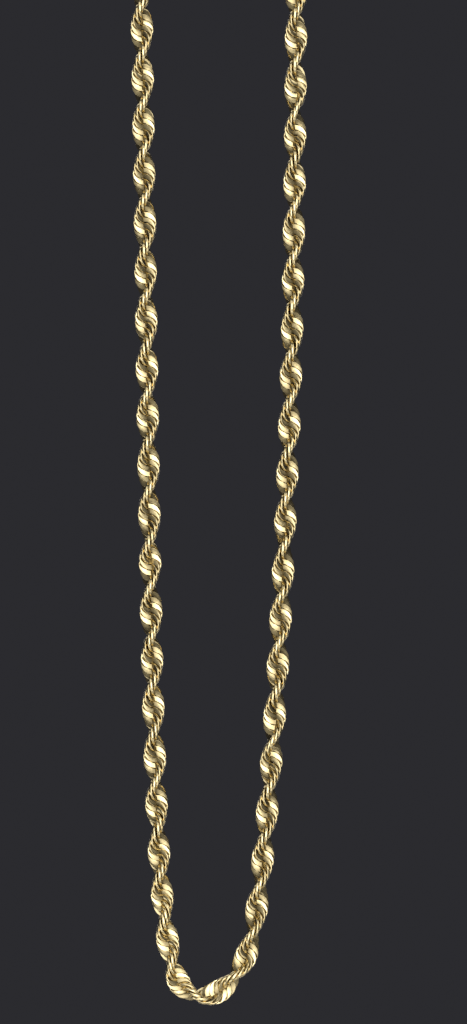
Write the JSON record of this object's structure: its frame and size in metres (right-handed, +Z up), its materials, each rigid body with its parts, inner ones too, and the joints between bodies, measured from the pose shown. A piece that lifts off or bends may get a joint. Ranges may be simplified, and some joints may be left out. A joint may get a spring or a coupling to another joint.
{
  "type": "rope chain necklace",
  "caption": "Polished gold rope chain necklace, held up by its plain barrel clasp and hanging as a long narrow closed loop.",
  "frame": {"origin": "the underside of the clasp's barrel, at its middle, where the necklace hangs on a peg", "axes": "+Z up, against the hang; +X along the clasp, to the right seen from the front; the front faces -Y"},
  "size_m": [0.0318, 0.0056, 0.2948],
  "materials": {
    "gold": "polished"
  },
  "bodies": {
    "root": {"rope_chain": "gold", "clasp": "gold"}
  },
  "joints": []
}
